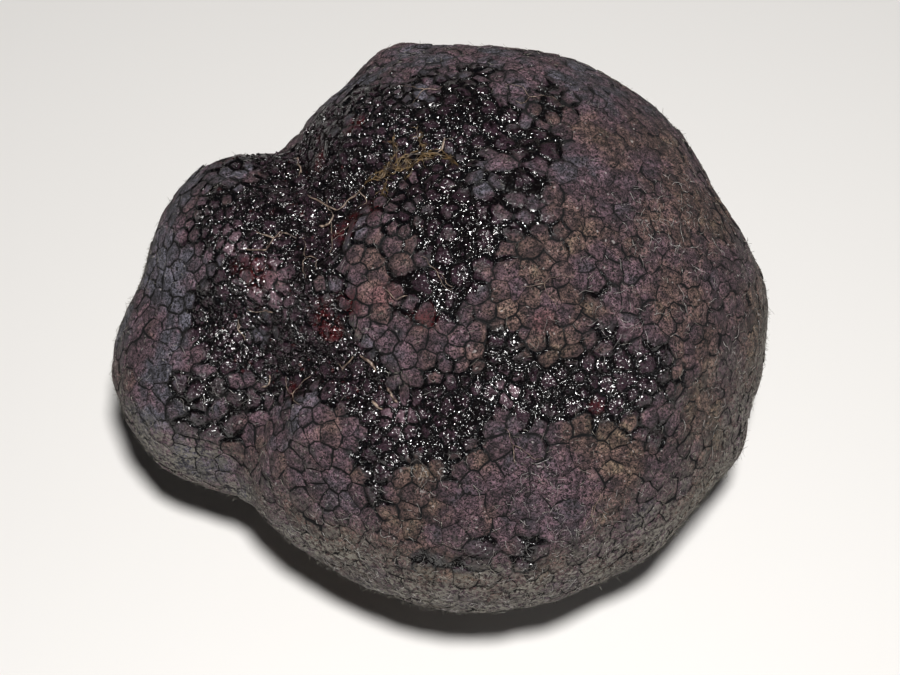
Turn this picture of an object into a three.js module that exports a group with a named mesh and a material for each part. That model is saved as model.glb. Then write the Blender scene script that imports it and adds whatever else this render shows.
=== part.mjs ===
// Black truffle: a knobbly fungus that grew in the soil as one piece, so it is one solid. A large round lobe has
// a small one pressed against it, with a furrow between them, and the hard skin is paved all over with low
// many-sided warts. Millimetres, +Z up. It lies on a small flat spot, with the middle of its box over the origin.
import * as THREE from "three";
import { ConvexHull } from "three/addons/math/ConvexHull.js";

// The lump. Its surface is a radius in each direction from the middle of the lump, 54 mm wide in all.
const flatten = 0.85; // height against depth: the soil pressed the lump down
const merge = 1.0; // how softly one lobe runs into the next
const restDepth = 16.8; // from the middle of the lump down to the flat spot that it lies on

// Round lobes, each with its middle and its radius, before the lump is flattened.
const lobes = {
  heart: { middle: [4.1, 2.2, 0.7], radius: 21.3 },
  crown: { middle: [2.4, 5.6, 4.9], radius: 17.8 },
  rightShoulder: { middle: [10.6, 1.5, 0.1], radius: 15.1 },
  rightFront: { middle: [7.5, -6.2, -1.7], radius: 15.0 },
  front: { middle: [2.1, -8.4, -0.4], radius: 15.6 },
  leftFront: { middle: [-4.2, -6.2, -1.3], radius: 14.3 },
  smallLobeBack: { middle: [-13.3, 4.9, 4.0], radius: 11.6 },
  smallLobeFront: { middle: [-16.8, -2.3, -1.4], radius: 11.0 },
};

// Furrows pressed in along paths of [azimuth, elevation] directions in degrees, azimuth 0 along +X.
const furrows = {
  betweenLobesBehind: { path: [[133, -1], [139, 19], [141, 34], [152, 47]], depth: 2.0, width: 7 },
  betweenLobesOnTop: { path: [[152, 47], [169, 57], [-154, 58], [-143, 43]], depth: 0.9, width: 6 },
  betweenLobesInFront: { path: [[-143, 36], [-147, 18], [-146, 1]], depth: 1.7, width: 7 },
  edgeOfLargeLobe: { path: [[157, 66], [-172, 64], [-148, 60], [-135, 53]], depth: 0.7, width: 3.5 },
  overCrown: { path: [[169, 57], [144, 75], [82, 77], [53, 66]], depth: 1.1, width: 6 },
  acrossLargeLobe: { path: [[-138, 44], [-104, 45], [-75, 51], [-43, 45]], depth: 1.1, width: 7.5 },
  behind: { path: [[62, -12], [88, -26], [118, -18]], depth: 1.3, width: 8 },
  underRight: { path: [[28, -34], [-4, -46], [-38, -38]], depth: 0.9, width: 8 },
};

// Swellings and dimples, each a soft hill in one direction: height in mm, spread in degrees.
const swellings = {
  knuckleBelowFurrow: { azimuth: -129, elevation: 31, height: 1.0, spread: 8 },
  knuckleInFurrow: { azimuth: -170, elevation: 44, height: 0.7, spread: 7 },
  brow: { azimuth: -105, elevation: 72, height: 0.5, spread: 12 },
  crownLeft: { azimuth: 103, elevation: 29, height: 1.4, spread: 8 },
  crownDimple: { azimuth: 77, elevation: 29, height: -0.5, spread: 8 },
  shoulderDimple: { azimuth: 24, elevation: 13, height: -1.7, spread: 10 },
  hip: { azimuth: -21, elevation: -12, height: 1.3, spread: 10 },
  hipDimple: { azimuth: -34, elevation: -16, height: -1.1, spread: 8 },
  notch: { azimuth: 135, elevation: 24, height: -1.5, spread: 6 },
  smallLobeDimple: { azimuth: 152, elevation: 20, height: -0.5, spread: 10 },
  fillOnTop: { azimuth: -158, elevation: 57, height: 1.8, spread: 9 },
  fillInFront: { azimuth: -147, elevation: 42, height: 1.4, spread: 8 },
  fillBehind: { azimuth: 160, elevation: 53, height: 1.1, spread: 8 },
};

// The warts. They are about twice life size across, and spread evenly over the skin.
const wartCount = 640;
const wartSeed = 7;
const wartScatter = 3.0; // how far a wart may stray from its even share of the skin, in shares
const grooveDepth = 0.42; // floor of the groove between warts, below the lump's own surface
const wartHeight = 0.22; // rim of a wart's top, above it
const wartDome = 0.24; // middle of its top, above the rim
const wartTop = 0.8; // width of the top against the whole wart
const cornerPull = 0.16; // least share that each of three warts has in the corner between them
const evenRounds = 9;
const evenSamples = 24000;

const goldenTurn = Math.PI * (3 - Math.sqrt(5));

function direction(azimuth, elevation) {
  const a = THREE.MathUtils.degToRad(azimuth);
  const e = THREE.MathUtils.degToRad(elevation);
  return new THREE.Vector3(Math.cos(e) * Math.cos(a), Math.cos(e) * Math.sin(a), Math.sin(e));
}

const lobeList = Object.values(lobes).map(({ middle, radius }) => ({
  middle: new THREE.Vector3(...middle),
  radius,
}));
const furrowList = Object.values(furrows).map(({ path, depth, width }) => ({
  points: path.map(([azimuth, elevation]) => direction(azimuth, elevation)),
  depth,
  width: THREE.MathUtils.degToRad(width),
}));
const swellingList = Object.values(swellings).map(({ azimuth, elevation, height, spread }) => ({
  towards: direction(azimuth, elevation),
  height,
  fall: 1 - Math.cos(THREE.MathUtils.degToRad(spread)),
}));

// Where a ray from the middle of the lump leaves a lobe, or 0 where it misses the lobe.
function lobeExit(lobe, u) {
  const along = u.dot(lobe.middle);
  const inside = lobe.radius ** 2 - lobe.middle.lengthSq() + along ** 2;
  return inside > 0 ? Math.max(along + Math.sqrt(inside), 0) : 0;
}

// Distance from a direction to a furrow's path, on the unit ball.
function distanceToPath(points, u) {
  const leg = new THREE.Line3();
  const nearest = new THREE.Vector3();
  const distances = points.slice(1).map((end, i) => {
    leg.set(points[i], end).closestPointToPoint(u, true, nearest);
    return nearest.distanceTo(u);
  });
  return Math.min(...distances);
}

// Radius of the bare lump: the lobes run together by a soft maximum, then furrows and swellings shape it.
function lumpRadius(u) {
  const lobed = merge * Math.log(lobeList.reduce((sum, lobe) => sum + Math.exp(lobeExit(lobe, u) / merge), 0));
  const pressedIn = furrowList.reduce(
    (sum, { points, depth, width }) => sum + depth * Math.exp(-((distanceToPath(points, u) / width) ** 2)),
    0,
  );
  const swollen = swellingList.reduce(
    (sum, { towards, height, fall }) => sum + height * Math.exp((u.dot(towards) - 1) / fall),
    0,
  );
  return lobed - pressedIn + swollen;
}

// A point of the lump, or above it by so much, and the direction that a point lies in.
function lumpPoint(u, raised = 0) {
  const p = u.clone().multiplyScalar(lumpRadius(u) + raised);
  p.z *= flatten;
  return p;
}
function directionOf(p) {
  return new THREE.Vector3(p.x, p.y, p.z / flatten).normalize();
}

// A point of the skin, which is flat where it rests.
function skinPoint(u, raised) {
  const p = lumpPoint(u, raised);
  p.z = Math.max(p.z, -restDepth);
  return p;
}

// A repeatable draw between 0 and 1.
function makeDraw(seed) {
  let state = seed;
  return () => {
    state = (state * 16807) % 2147483647;
    return state / 2147483647;
  };
}

// Directions on an even spiral from pole to pole.
function spiral(count) {
  return Array.from({ length: count }, (_, i) => {
    const z = 1 - (2 * i + 1) / count;
    const ring = Math.sqrt(1 - z * z);
    return new THREE.Vector3(ring * Math.cos(i * goldenTurn), ring * Math.sin(i * goldenTurn), z);
  });
}

// Middles of the warts: one drawn for each even share of the skin, then moved a few times to the middle of the skin
// that each one holds, as measured on the lump itself.
function wartMiddles() {
  const draw = makeDraw(wartSeed);
  const samples = spiral(evenSamples).map((u) => {
    const side = new THREE.Vector3(-u.y, u.x, 0).normalize();
    const ahead = new THREE.Vector3().crossVectors(u, side);
    const p = lumpPoint(u);
    const [across, along] = [side, ahead].map((step) =>
      lumpPoint(u.clone().addScaledVector(step, 0.004).normalize()).sub(p),
    );
    return { p, area: across.cross(along).length() };
  });
  const whole = samples.reduce((sum, { area }) => sum + area, 0);
  const middles = [];
  let passed = 0;
  let next = draw() * wartScatter;
  for (const { p, area } of samples) {
    passed += (area / whole) * wartCount;
    if (passed > next && middles.length < wartCount) {
      middles.push(p.clone());
      next = middles.length + draw() * wartScatter;
    }
  }
  for (let round = 0; round < evenRounds; round += 1) {
    const held = middles.map(() => ({ sum: new THREE.Vector3(), area: 0 }));
    for (const { p, area } of samples) {
      let nearest = 0;
      let shortest = Infinity;
      for (let i = 0; i < middles.length; i += 1) {
        const distance = p.distanceToSquared(middles[i]);
        if (distance < shortest) {
          nearest = i;
          shortest = distance;
        }
      }
      held[nearest].sum.addScaledVector(p, area);
      held[nearest].area += area;
    }
    held.forEach(({ sum, area }, i) => middles[i].copy(sum.divideScalar(area)));
  }
  return middles.map(directionOf);
}

// The corner where three warts meet: as far from one middle as from the next, but well inside the triangle that
// joins them.
function cornerBetween(middles) {
  const points = middles.map((u) => lumpPoint(u));
  const sides = points.map((_, i) => points[(i + 1) % 3].distanceToSquared(points[(i + 2) % 3]));
  const shares = sides.map((side, i) => side * (sides[(i + 1) % 3] + sides[(i + 2) % 3] - side));
  const whole = shares.reduce((sum, share) => sum + share, 0);
  const corner = new THREE.Vector3();
  points.forEach((p, i) => corner.addScaledVector(p, Math.max(shares[i] / whole, cornerPull)));
  return directionOf(corner);
}

// Each wart's middle and the corners round it. The hull of the middles joins neighbours into triangles, and each
// triangle has one corner.
function wartOutlines() {
  const hull = new ConvexHull().setFromPoints(wartMiddles());
  const around = new Map();
  const cornerOf = new Map();
  for (const face of hull.faces) {
    const middles = [];
    let edge = face.edge;
    do {
      middles.push(edge.head().point);
      if (!around.has(edge.head().point)) around.set(edge.head().point, edge);
      edge = edge.next;
    } while (edge !== face.edge);
    cornerOf.set(face, cornerBetween(middles));
  }
  return [...around].map(([middle, first]) => {
    const corners = [];
    let edge = first;
    do {
      corners.unshift(cornerOf.get(edge.face));
      edge = edge.next.twin;
    } while (edge !== first);
    return { middle, corners };
  });
}

// One closed mesh: a flat-sided dome for each wart, and a groove round it that it shares with its neighbours.
function skinGeometry() {
  const positions = [];
  const triangles = [];
  const addPoint = (p) => positions.push(p.x, p.y, p.z) / 3 - 1;
  const grooveFloor = new Map();
  const floorPoint = (corner) => {
    if (!grooveFloor.has(corner)) grooveFloor.set(corner, addPoint(skinPoint(corner, -grooveDepth)));
    return grooveFloor.get(corner);
  };
  for (const { middle, corners } of wartOutlines()) {
    const top = addPoint(skinPoint(middle, wartHeight + wartDome));
    const rim = corners.map((corner) => {
      const u = middle.clone().lerp(corner, wartTop).normalize();
      return addPoint(skinPoint(u, wartHeight));
    });
    corners.forEach((corner, i) => {
      const j = (i + 1) % corners.length;
      const [floorA, floorB] = [floorPoint(corner), floorPoint(corners[j])];
      triangles.push(top, rim[i], rim[j], rim[i], floorA, floorB, rim[i], floorB, rim[j]);
    });
  }
  const geometry = new THREE.BufferGeometry();
  geometry.setAttribute("position", new THREE.Float32BufferAttribute(positions, 3));
  geometry.setIndex(triangles);
  geometry.computeVertexNormals();
  return geometry;
}

function truffle() {
  const skin = new THREE.MeshStandardMaterial({ color: 0x3f3537, roughness: 0.7, metalness: 0 });
  const mesh = new THREE.Mesh(skinGeometry(), skin);
  mesh.name = "truffle";
  mesh.geometry.computeBoundingBox();
  const { min, max } = mesh.geometry.boundingBox;
  mesh.position.set(-(min.x + max.x) / 2, -(min.y + max.y) / 2, -min.z);
  return mesh;
}

const group = new THREE.Group();
group.add(truffle());
export default group;
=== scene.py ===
import math

import bmesh
import bpy
import numpy as np
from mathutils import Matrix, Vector


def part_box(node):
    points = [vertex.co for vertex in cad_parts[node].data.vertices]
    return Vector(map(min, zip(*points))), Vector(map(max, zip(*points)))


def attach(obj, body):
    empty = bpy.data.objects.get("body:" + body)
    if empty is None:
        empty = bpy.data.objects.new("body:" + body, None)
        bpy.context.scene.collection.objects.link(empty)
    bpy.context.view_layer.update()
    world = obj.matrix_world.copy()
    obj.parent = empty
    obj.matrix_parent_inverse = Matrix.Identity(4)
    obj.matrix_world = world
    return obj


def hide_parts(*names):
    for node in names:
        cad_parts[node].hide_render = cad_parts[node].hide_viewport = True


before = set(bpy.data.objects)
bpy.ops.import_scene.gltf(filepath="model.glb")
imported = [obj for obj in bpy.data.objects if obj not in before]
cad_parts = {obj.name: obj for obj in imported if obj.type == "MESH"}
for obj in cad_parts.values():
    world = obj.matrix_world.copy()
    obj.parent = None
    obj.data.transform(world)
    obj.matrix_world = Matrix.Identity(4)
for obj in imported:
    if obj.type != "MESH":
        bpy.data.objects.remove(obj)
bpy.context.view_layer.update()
print("stage: frame loaded")

# Lobes, furrows and swellings as in the part's own source, in millimetres from the middle of the lump.
lump = {
    "flatten": 0.85,  # height against depth
    "merge": 1.0,  # how softly one lobe runs into the next
    "restDepth": 16.8,  # from the middle down to the flat spot it lies on
    "lobes": [  # middle, radius
        ([4.1, 2.2, 0.7], 21.3),
        ([2.4, 5.6, 4.9], 17.8),
        ([10.6, 1.5, 0.1], 15.1),
        ([7.5, -6.2, -1.7], 15.0),
        ([2.1, -8.4, -0.4], 15.6),
        ([-4.2, -6.2, -1.3], 14.3),
        ([-13.3, 4.9, 4.0], 11.6),
        ([-16.8, -2.3, -1.4], 11.0),
    ],
    "furrows": [  # path of azimuth and elevation in degrees, depth, width in degrees
        ([[133, -1], [139, 19], [141, 34], [152, 47]], 2.0, 7),
        ([[152, 47], [169, 57], [-154, 58], [-143, 43]], 0.9, 6),
        ([[-143, 36], [-147, 18], [-146, 1]], 1.7, 7),
        ([[157, 66], [-172, 64], [-148, 60], [-135, 53]], 0.7, 3.5),
        ([[169, 57], [144, 75], [82, 77], [53, 66]], 1.1, 6),
        ([[-138, 44], [-104, 45], [-75, 51], [-43, 45]], 1.1, 7.5),
        ([[62, -12], [88, -26], [118, -18]], 1.3, 8),
        ([[28, -34], [-4, -46], [-38, -38]], 0.9, 8),
    ],
    "swellings": [  # azimuth, elevation, height, spread in degrees
        (-129, 31, 1.0, 8), (-170, 44, 0.7, 7), (-105, 72, 0.5, 12), (103, 29, 1.4, 8), (77, 29, -0.5, 8),
        (24, 13, -1.7, 10), (-21, -12, 1.3, 10), (-34, -16, -1.1, 8), (135, 24, -1.5, 6), (152, 20, -0.5, 10),
        (-158, 57, 1.8, 9), (-147, 42, 1.4, 8), (160, 53, 1.1, 8),
    ],
    "undulation": [(7.0, 0.22), (3.2, 0.16), (1.5, 0.05)],  # slow unevenness of the skin: size, height
}


def unit(v):
    return v / np.linalg.norm(v, axis=-1, keepdims=True)


def towards(azimuth, elevation):  # unit vector from two angles in degrees, azimuth 0 along +X
    a, e = np.radians(azimuth), np.radians(elevation)
    return np.stack([np.cos(e) * np.cos(a), np.cos(e) * np.sin(a), np.sin(e)], -1)


# Value noise: random numbers on a cubic lattice, run together with a smooth step, from -1 to 1.
latticeSide = 64  # a power of two
lattice = np.random.default_rng(5).random((latticeSide,) * 3) * 2 - 1


def softNoise(p, size, shift=0.0):
    q = p / size + shift
    cell = np.floor(q).astype(int)
    f = q - cell
    f = f * f * (3 - 2 * f)
    total = np.zeros(len(p))
    for dx, dy, dz in np.ndindex(2, 2, 2):
        share = abs(1 - dx - f[:, 0]) * abs(1 - dy - f[:, 1]) * abs(1 - dz - f[:, 2])
        i, j, k = ((cell + [dx, dy, dz]) & (latticeSide - 1)).T
        total += share * lattice[i, j, k]
    return total


def pathPoints(path):  # unit vectors of a path of azimuths and elevations
    return towards(*np.array(path, float).T)


def toPath(u, path):  # shortest straight distance on the unit ball from directions u to a path
    points = pathPoints(path)
    if len(points) == 1:
        return np.linalg.norm(u - points[0], axis=1)
    legs = points[1:] - points[:-1]
    offsets = u[:, None] - points[None, :-1]
    t = np.clip((offsets * legs).sum(2) / (legs * legs).sum(1), 0, 1)
    return np.linalg.norm(offsets - t[..., None] * legs, axis=2).min(1)


def bellRound(u, path, reach):  # 1 on the path of angles, falling off over reach degrees
    return np.exp(-((toPath(u, path) / math.radians(reach)) ** 2))


# Radius in each direction: soft maximum of the ways out of the lobes, less the furrows, plus the swellings.
def lumpRadius(u):
    middles = np.array([m for m, r in lump["lobes"]])
    radii = np.array([r for m, r in lump["lobes"]])
    along = u @ middles.T
    inside = radii**2 - (middles**2).sum(1) + along**2
    exits = np.where(inside > 0, np.maximum(along + np.sqrt(np.maximum(inside, 0)), 0), 0)
    radius = lump["merge"] * np.log(np.exp(exits / lump["merge"]).sum(1))
    for path, depth, width in lump["furrows"]:
        radius -= depth * bellRound(u, path, width)
    for azimuth, elevation, height, spread in lump["swellings"]:
        width = 1 - math.cos(math.radians(spread))
        radius += height * np.exp((u @ towards(azimuth, elevation) - 1) / width)
    return radius


def lumpPoint(u):  # radius times direction, pressed down in height, with slow unevenness added to the radius
    p = u * lumpRadius(u)[:, None]
    uneven = sum(height * softNoise(p, size, size) for size, height in lump["undulation"])
    p *= 1 + uneven[:, None] / np.linalg.norm(p, axis=1, keepdims=True)
    p[:, 2] *= lump["flatten"]
    return p


def directionOf(p):
    return unit(p / [1, 1, lump["flatten"]])


def alongSkin(v, normal):  # unit vector, less its part along the normal
    return unit(v - (v * normal).sum(1, keepdims=True) * normal)


def turned(v, normal, angle):  # v turned about the normal
    return v * np.cos(angle) + np.cross(normal, v) * np.sin(angle)


# Point, outward normal and share of area: cross product of two small steps on the surface.
def surfaceAt(u):
    side = unit(np.cross(u, np.where(np.abs(u[:, 2:]) < 0.9, [[0, 0, 1]], [[1, 0, 0]])))
    ahead = np.cross(u, side)
    step = 0.004
    p = lumpPoint(u)
    across = np.cross(lumpPoint(unit(u + step * side)) - p, lumpPoint(unit(u + step * ahead)) - p) / step**2
    area = np.linalg.norm(across, axis=1)
    return p, across / area[:, None], area


def spiral(count):  # directions on an even spiral from pole to pole
    z = 1 - (2 * np.arange(count) + 1) / count
    turn = np.arange(count) * math.pi * (3 - math.sqrt(5))
    ring = np.sqrt(1 - z * z)
    return np.stack([ring * np.cos(turn), ring * np.sin(turn), z], 1)


damp = {
    "paths": [  # path of azimuth and elevation, reach in degrees, strength
        ([[146, 38], [150, 47], [147, 59], [138, 67], [118, 71], [87, 71], [71, 66]], 7, 1.0),
        ([[144, 70], [162, 62], [170, 53], [172, 44], [174, 40]], 8, 1.0),
        ([[155, 48], [178, 59], [-169, 51], [-151, 46]], 10, 1.1),
        ([[-168, 44], [-157, 38], [-148, 44], [-128, 46]], 8.5, 1.05),
        ([[172, 40], [-179, 40], [-170, 35], [-161, 29], [-152, 28], [-142, 35]], 6.5, 0.95),
        ([[177, 49], [-167, 46], [-153, 41], [-138, 45]], 7, 1.0),
        ([[-132, 44], [-110, 41], [-98, 43], [-85, 48], [-71, 50], [-56, 45], [-40, 39]], 7.5, 1.05),
        ([[-70, 60], [-73, 50]], 6, 0.7),
        ([[-38, 41], [-36, 52]], 6, 0.6),
        ([[137, 87], [-90, 85], [-94, 77]], 9.5, 0.85),
        ([[47, 68]], 6, 0.95),
        ([[18, 76], [-7, 75]], 6, 0.65),
        ([[-111, 36], [-105, 27]], 7, 0.8),
        ([[-154, 20], [-150, 11]], 5, 0.85),
        ([[-103, 14], [-88, 14], [-78, 13]], 6, 0.5),
        ([[-60, 70]], 5, 0.5),
        ([[-42, 27]], 5, 0.5),
        ([[62, -12], [88, -26], [118, -18]], 8, 0.85),
        ([[20, -24], [-4, -40], [-38, -34]], 7, 0.7),
        ([[66, 16], [84, 10]], 6, 0.65),
        ([[112, 53], [101, 57], [87, 60], [67, 61], [50, 61]], 9, 0.42),
        ([[-100, 52], [-75, 56]], 7, 0.3),
        ([[143, 38], [134, 42], [127, 49], [119, 55]], 6, 0.9),
        ([[106, 47], [93, 49], [82, 50]], 7, 0.3),
    ],
    "drySpots": [  # azimuth, elevation, reach in degrees, strength
        (-131, 31, 6, 0.85), (-169, 47, 3.5, 0.6), (-119, 33, 5, 0.7), (-137, 24, 6, 0.7), (-160, 33, 3, 0.4),
    ],
    "falloff": 3.2,  # power of the bell: the higher, the sharper its edge
    "raggedSize": 2.0,  # mm
    "ragged": 0.42,
    "nearby": 1.7,  # how much farther the skin near the damp reaches than the damp itself
    "fleshSpots": [  # these and the next two: azimuth, elevation, reach in degrees
        (-142, 60, 5), (-172, 44, 4.5), (-143, 29, 2.6), (130, 59, 2.4), (146, 54, 3), (176, 66, 4),
        (168, 73, 3), (-177, 40, 3), (-146, 52, 5), (150, 30, 2.5), (-104, 66, 3.5), (-50, 38, 2.2),
        (75, -20, 4), (-20, -38, 4),
    ],
    "bareSpots": [(-131, 67, 3.5), (-126, 71, 3), (-72, 57, 3), (-96, 37, 2.5), (150, 62, 2.5), (-50, 60, 3)],
    "paleSpots": [(-169, 45, 6), (-131, 32, 5), (176, 40, 3), (-107, 43, 3.5), (-70, 49, 3)],
}


def smoothStep(low, high, x):
    t = np.clip((x - low) / (high - low), 0, 1)
    return t * t * (3 - 2 * t)


def dampAt(u, p, wider=1.0):  # 0 dry to 1 wet: bell round each path, with ragged edges
    bell = np.zeros(len(u))
    for path, reach, strength in damp["paths"]:
        away = toPath(u, path) / math.radians(reach * wider)
        bell = np.maximum(bell, strength / (1 + away ** damp["falloff"]))
    for azimuth, elevation, reach, strength in damp["drySpots"]:
        bell *= 1 - strength * bellRound(u, [[azimuth, elevation]], reach)
    size = damp["raggedSize"]
    ragged = damp["ragged"] * (softNoise(p, size, 11) + 0.6 * softNoise(p, size * 0.45, 23))
    return smoothStep(0.12, 1.0, bell + ragged * smoothStep(0.02, 0.3, bell))


def spotsAt(u, spots):  # bell round each spot, 1 in its middle
    return np.max([bellRound(u, [[azimuth, elevation]], reach) for azimuth, elevation, reach in spots], 0)


def fleshAt(u, p):  # 0 skin to 1 bare red flesh
    bell = spotsAt(u, damp["fleshSpots"])
    return smoothStep(0.35, 0.75, bell + 0.4 * softNoise(p, 1.2, 31) * smoothStep(0.05, 0.4, bell))


warts = {
    "count": 2800,
    "seed": 7,
    "samples": 120000,
    "evenRounds": 3,
    "crowdWhereDamp": 0.5,  # extra warts to the area in damp skin
    "crowdPatches": (6.0, 0.35),  # size in mm of the patches where warts are smaller, and how much
    "thinAtRight": 0.2,  # share of the warts left out toward the front right, where they are larger
    "cornerPull": 0.14,  # least share each of three warts has in the corner between them
    "bend": 0.2,  # how far a border strays from straight
    "boldNearDamp": 0.45,  # how much bolder cracks are in and near damp skin
    "faintOnSides": 0.35,
    "crackHalfWidth": (0.04, 0.125),  # mm, faint crack and bold crack
    "crackDepth": (0.02, 0.22),
    "flatShare": 0.55,  # width of a wart's flat top against the whole wart
    "flatHeight": 0.03,
    "dome": 0.02,
    "unevenHeight": 0.035,  # one wart stands higher than the next
    "tilt": 0.06,
    "dampDome": 0.09,
    "dampTilt": 2.2,  # how much more a damp wart leans
    "pits": ((0.7, 0.02), (0.8, 0.09)),  # size and height in mm of small pits, on all skin and on damp skin
}


def frontRight(p):  # 0 at the back left to 1 at the front right
    return smoothStep(-12, 16, 0.7 * p[:, 0] - 0.7 * p[:, 1])


def nearestOf(points, seeds, batch=8000):  # number of the nearest seed, in batches that fit in memory
    points = points.astype(np.float32)
    half = ((seeds**2).sum(1) / 2).astype(np.float32)
    columns = seeds.T.astype(np.float32)
    starts = range(0, len(points), batch)
    return np.concatenate([np.argmax(points[s:s + batch] @ columns - half, 1) for s in starts])


# Middles of the warts: drawn by area, then moved a few times to the middle of the skin that each holds.
def wartMiddles():
    draw = np.random.default_rng(warts["seed"])
    u = spiral(warts["samples"])
    p, normal, area = surfaceAt(u)
    size, strength = warts["crowdPatches"]
    weight = area * (1 + warts["crowdWhereDamp"] * dampAt(u, p)) * np.exp(strength * softNoise(p, size, 41))
    weight *= 1 - warts["thinAtRight"] * frontRight(p)
    seeds = p[draw.choice(len(u), warts["count"], replace=False, p=weight / weight.sum())]
    for _ in range(warts["evenRounds"]):
        held = nearestOf(p, seeds)
        total = np.bincount(held, weight, len(seeds))
        moved = np.stack([np.bincount(held, weight * p[:, k], len(seeds)) for k in range(3)], 1)
        seeds = np.where(total[:, None] > 0, moved / np.maximum(total, 1e-9)[:, None], seeds)
    return directionOf(seeds)


# Triangles that join neighbouring warts: hull of the directions, then edges turned to suit real distances.
def joinNeighbours(u, p):
    mesh = bpy.data.meshes.new("neighbours")
    mesh.from_pydata(u, [], [])
    for joined in (False, True):
        work = bmesh.new()
        work.from_mesh(mesh)
        if joined:
            bmesh.ops.beautify_fill(work, faces=work.faces, edges=work.edges, method="ANGLE")
        else:
            bmesh.ops.convex_hull(work, input=work.verts)
            bmesh.ops.triangulate(work, faces=work.faces)
        work.to_mesh(mesh)
        work.free()
        mesh.vertices.foreach_set("co", p.astype(np.float32).ravel())
    corner = np.empty(len(mesh.loops), np.int32)
    mesh.loops.foreach_get("vertex_index", corner)
    bpy.data.meshes.remove(mesh)
    triangles = corner.reshape(-1, 3)
    a, b, c = (u[triangles[:, k]] for k in range(3))
    inward = (np.cross(b - a, c - a) * a).sum(1) < 0
    triangles[inward] = triangles[inward][:, ::-1]
    return triangles.astype(int)


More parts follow.
